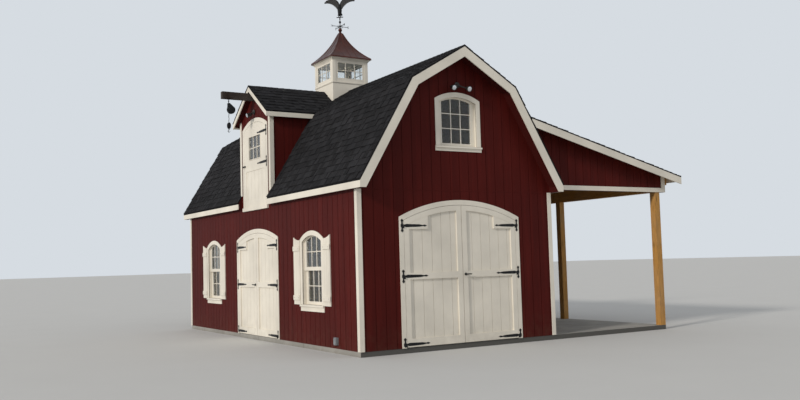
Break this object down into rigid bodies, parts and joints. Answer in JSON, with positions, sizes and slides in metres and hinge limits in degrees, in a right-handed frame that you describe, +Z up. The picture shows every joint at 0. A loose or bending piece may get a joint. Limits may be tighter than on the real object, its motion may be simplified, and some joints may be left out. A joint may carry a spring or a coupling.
{
  "type": "barn shed",
  "caption": "Gambrel barn shed with a loft, arched double doors, a hoist dormer, a glazed cupola with a weathervane and a lean-to porch.",
  "frame": {"origin": "centre of the main building's footprint, on the ground under its slab", "axes": "+Z up, +Y from the front gable to the rear gable, +X towards the lean-to porch"},
  "size_m": [8.463, 9.754, 7.7311],
  "materials": {
    "red_siding": "painted, satin",
    "white_trim": "painted, satin",
    "shingles": "mineral granules on asphalt",
    "concrete": "floated concrete",
    "bare_lumber": "treated timber",
    "dark_timber": "dark stain",
    "black_iron": "black, satin",
    "aged_copper": "weathered brown",
    "grey_box": "grey enamel",
    "window_glass": "clear"
  },
  "bodies": {
    "building": {"corner_boards": "white_trim", "cupola_base": "white_trim", "cupola_cornice": "white_trim", "cupola_lantern": "white_trim", "cupola_roof": "aged_copper", "door_casings": "white_trim", "door_hinge_plates": "black_iron", "dormer_roof": "white_trim", "dormer_shingles": "shingles", "dormer_trim": "white_trim", "dormer_walls": "red_siding", "fascia_boards": "white_trim", "flood_lights": "white_trim", "front_gable": "red_siding", "front_wall_left": "red_siding", "front_wall_over_door": "red_siding", "front_wall_right": "red_siding", "hoist_beam": "dark_timber", "hoist_tackle": "black_iron", "left_wall_front": "red_siding", "left_wall_over_door": "red_siding", "left_wall_rear": "red_siding", "loft_deck": "bare_lumber", "loft_door_casing": "white_trim", "loft_door_hardware": "black_iron", "loft_door_leaf": "white_trim", "loft_joists": "bare_lumber", "main_shingles": "shingles", "outlet_box": "grey_box", "porch_beam": "bare_lumber", "porch_end_walls": "red_siding", "porch_posts": "bare_lumber", "porch_rafters": "bare_lumber", "porch_roof_deck": "bare_lumber", "porch_shingles": "shingles", "porch_trim": "white_trim", "rake_boards": "white_trim", "rear_gable": "red_siding", "rear_wall": "red_siding", "right_wall": "red_siding", "roof_lower_panels": "white_trim", "roof_upper_panels": "white_trim", "shutters": "white_trim", "slabs": "concrete", "vane_mast": "black_iron", "window_casings": "white_trim", "window_frames": "white_trim", "window_glass": "window_glass"},
    "front_left_leaf": {"front_door_left_leaf": "white_trim", "front_door_left_hardware": "black_iron"},
    "front_right_leaf": {"front_door_right_leaf": "white_trim", "front_door_right_hardware": "black_iron"},
    "side_left_leaf": {"side_door_left_leaf": "white_trim", "side_door_left_hardware": "black_iron"},
    "side_right_leaf": {"side_door_right_leaf": "white_trim", "side_door_right_hardware": "black_iron"},
    "weathervane": {"vane_eagle": "black_iron"}
  },
  "joints": [
    {"name": "front_left_swing", "type": "hinge", "parent": "building", "child": "front_left_leaf", "pos_m": [-1.233, -4.599, 1.29], "axis": [0, 0, -1], "range_deg": [0, 165]},
    {"name": "front_right_swing", "type": "hinge", "parent": "building", "child": "front_right_leaf", "pos_m": [1.233, -4.599, 1.29], "axis": [0, 0, 1], "range_deg": [0, 165]},
    {"name": "side_left_swing", "type": "hinge", "parent": "building", "child": "side_left_leaf", "pos_m": [-2.1605, 1.0805, 1.19], "axis": [0, 0, -1], "range_deg": [0, 165]},
    {"name": "side_right_swing", "type": "hinge", "parent": "building", "child": "side_right_leaf", "pos_m": [-2.1605, -1.0805, 1.19], "axis": [0, 0, 1], "range_deg": [0, 165]},
    {"name": "vane_turn", "type": "hinge", "parent": "building", "child": "weathervane", "pos_m": [0, 0, 7.27], "axis": [0, 0, 1], "continuous": true}
  ]
}
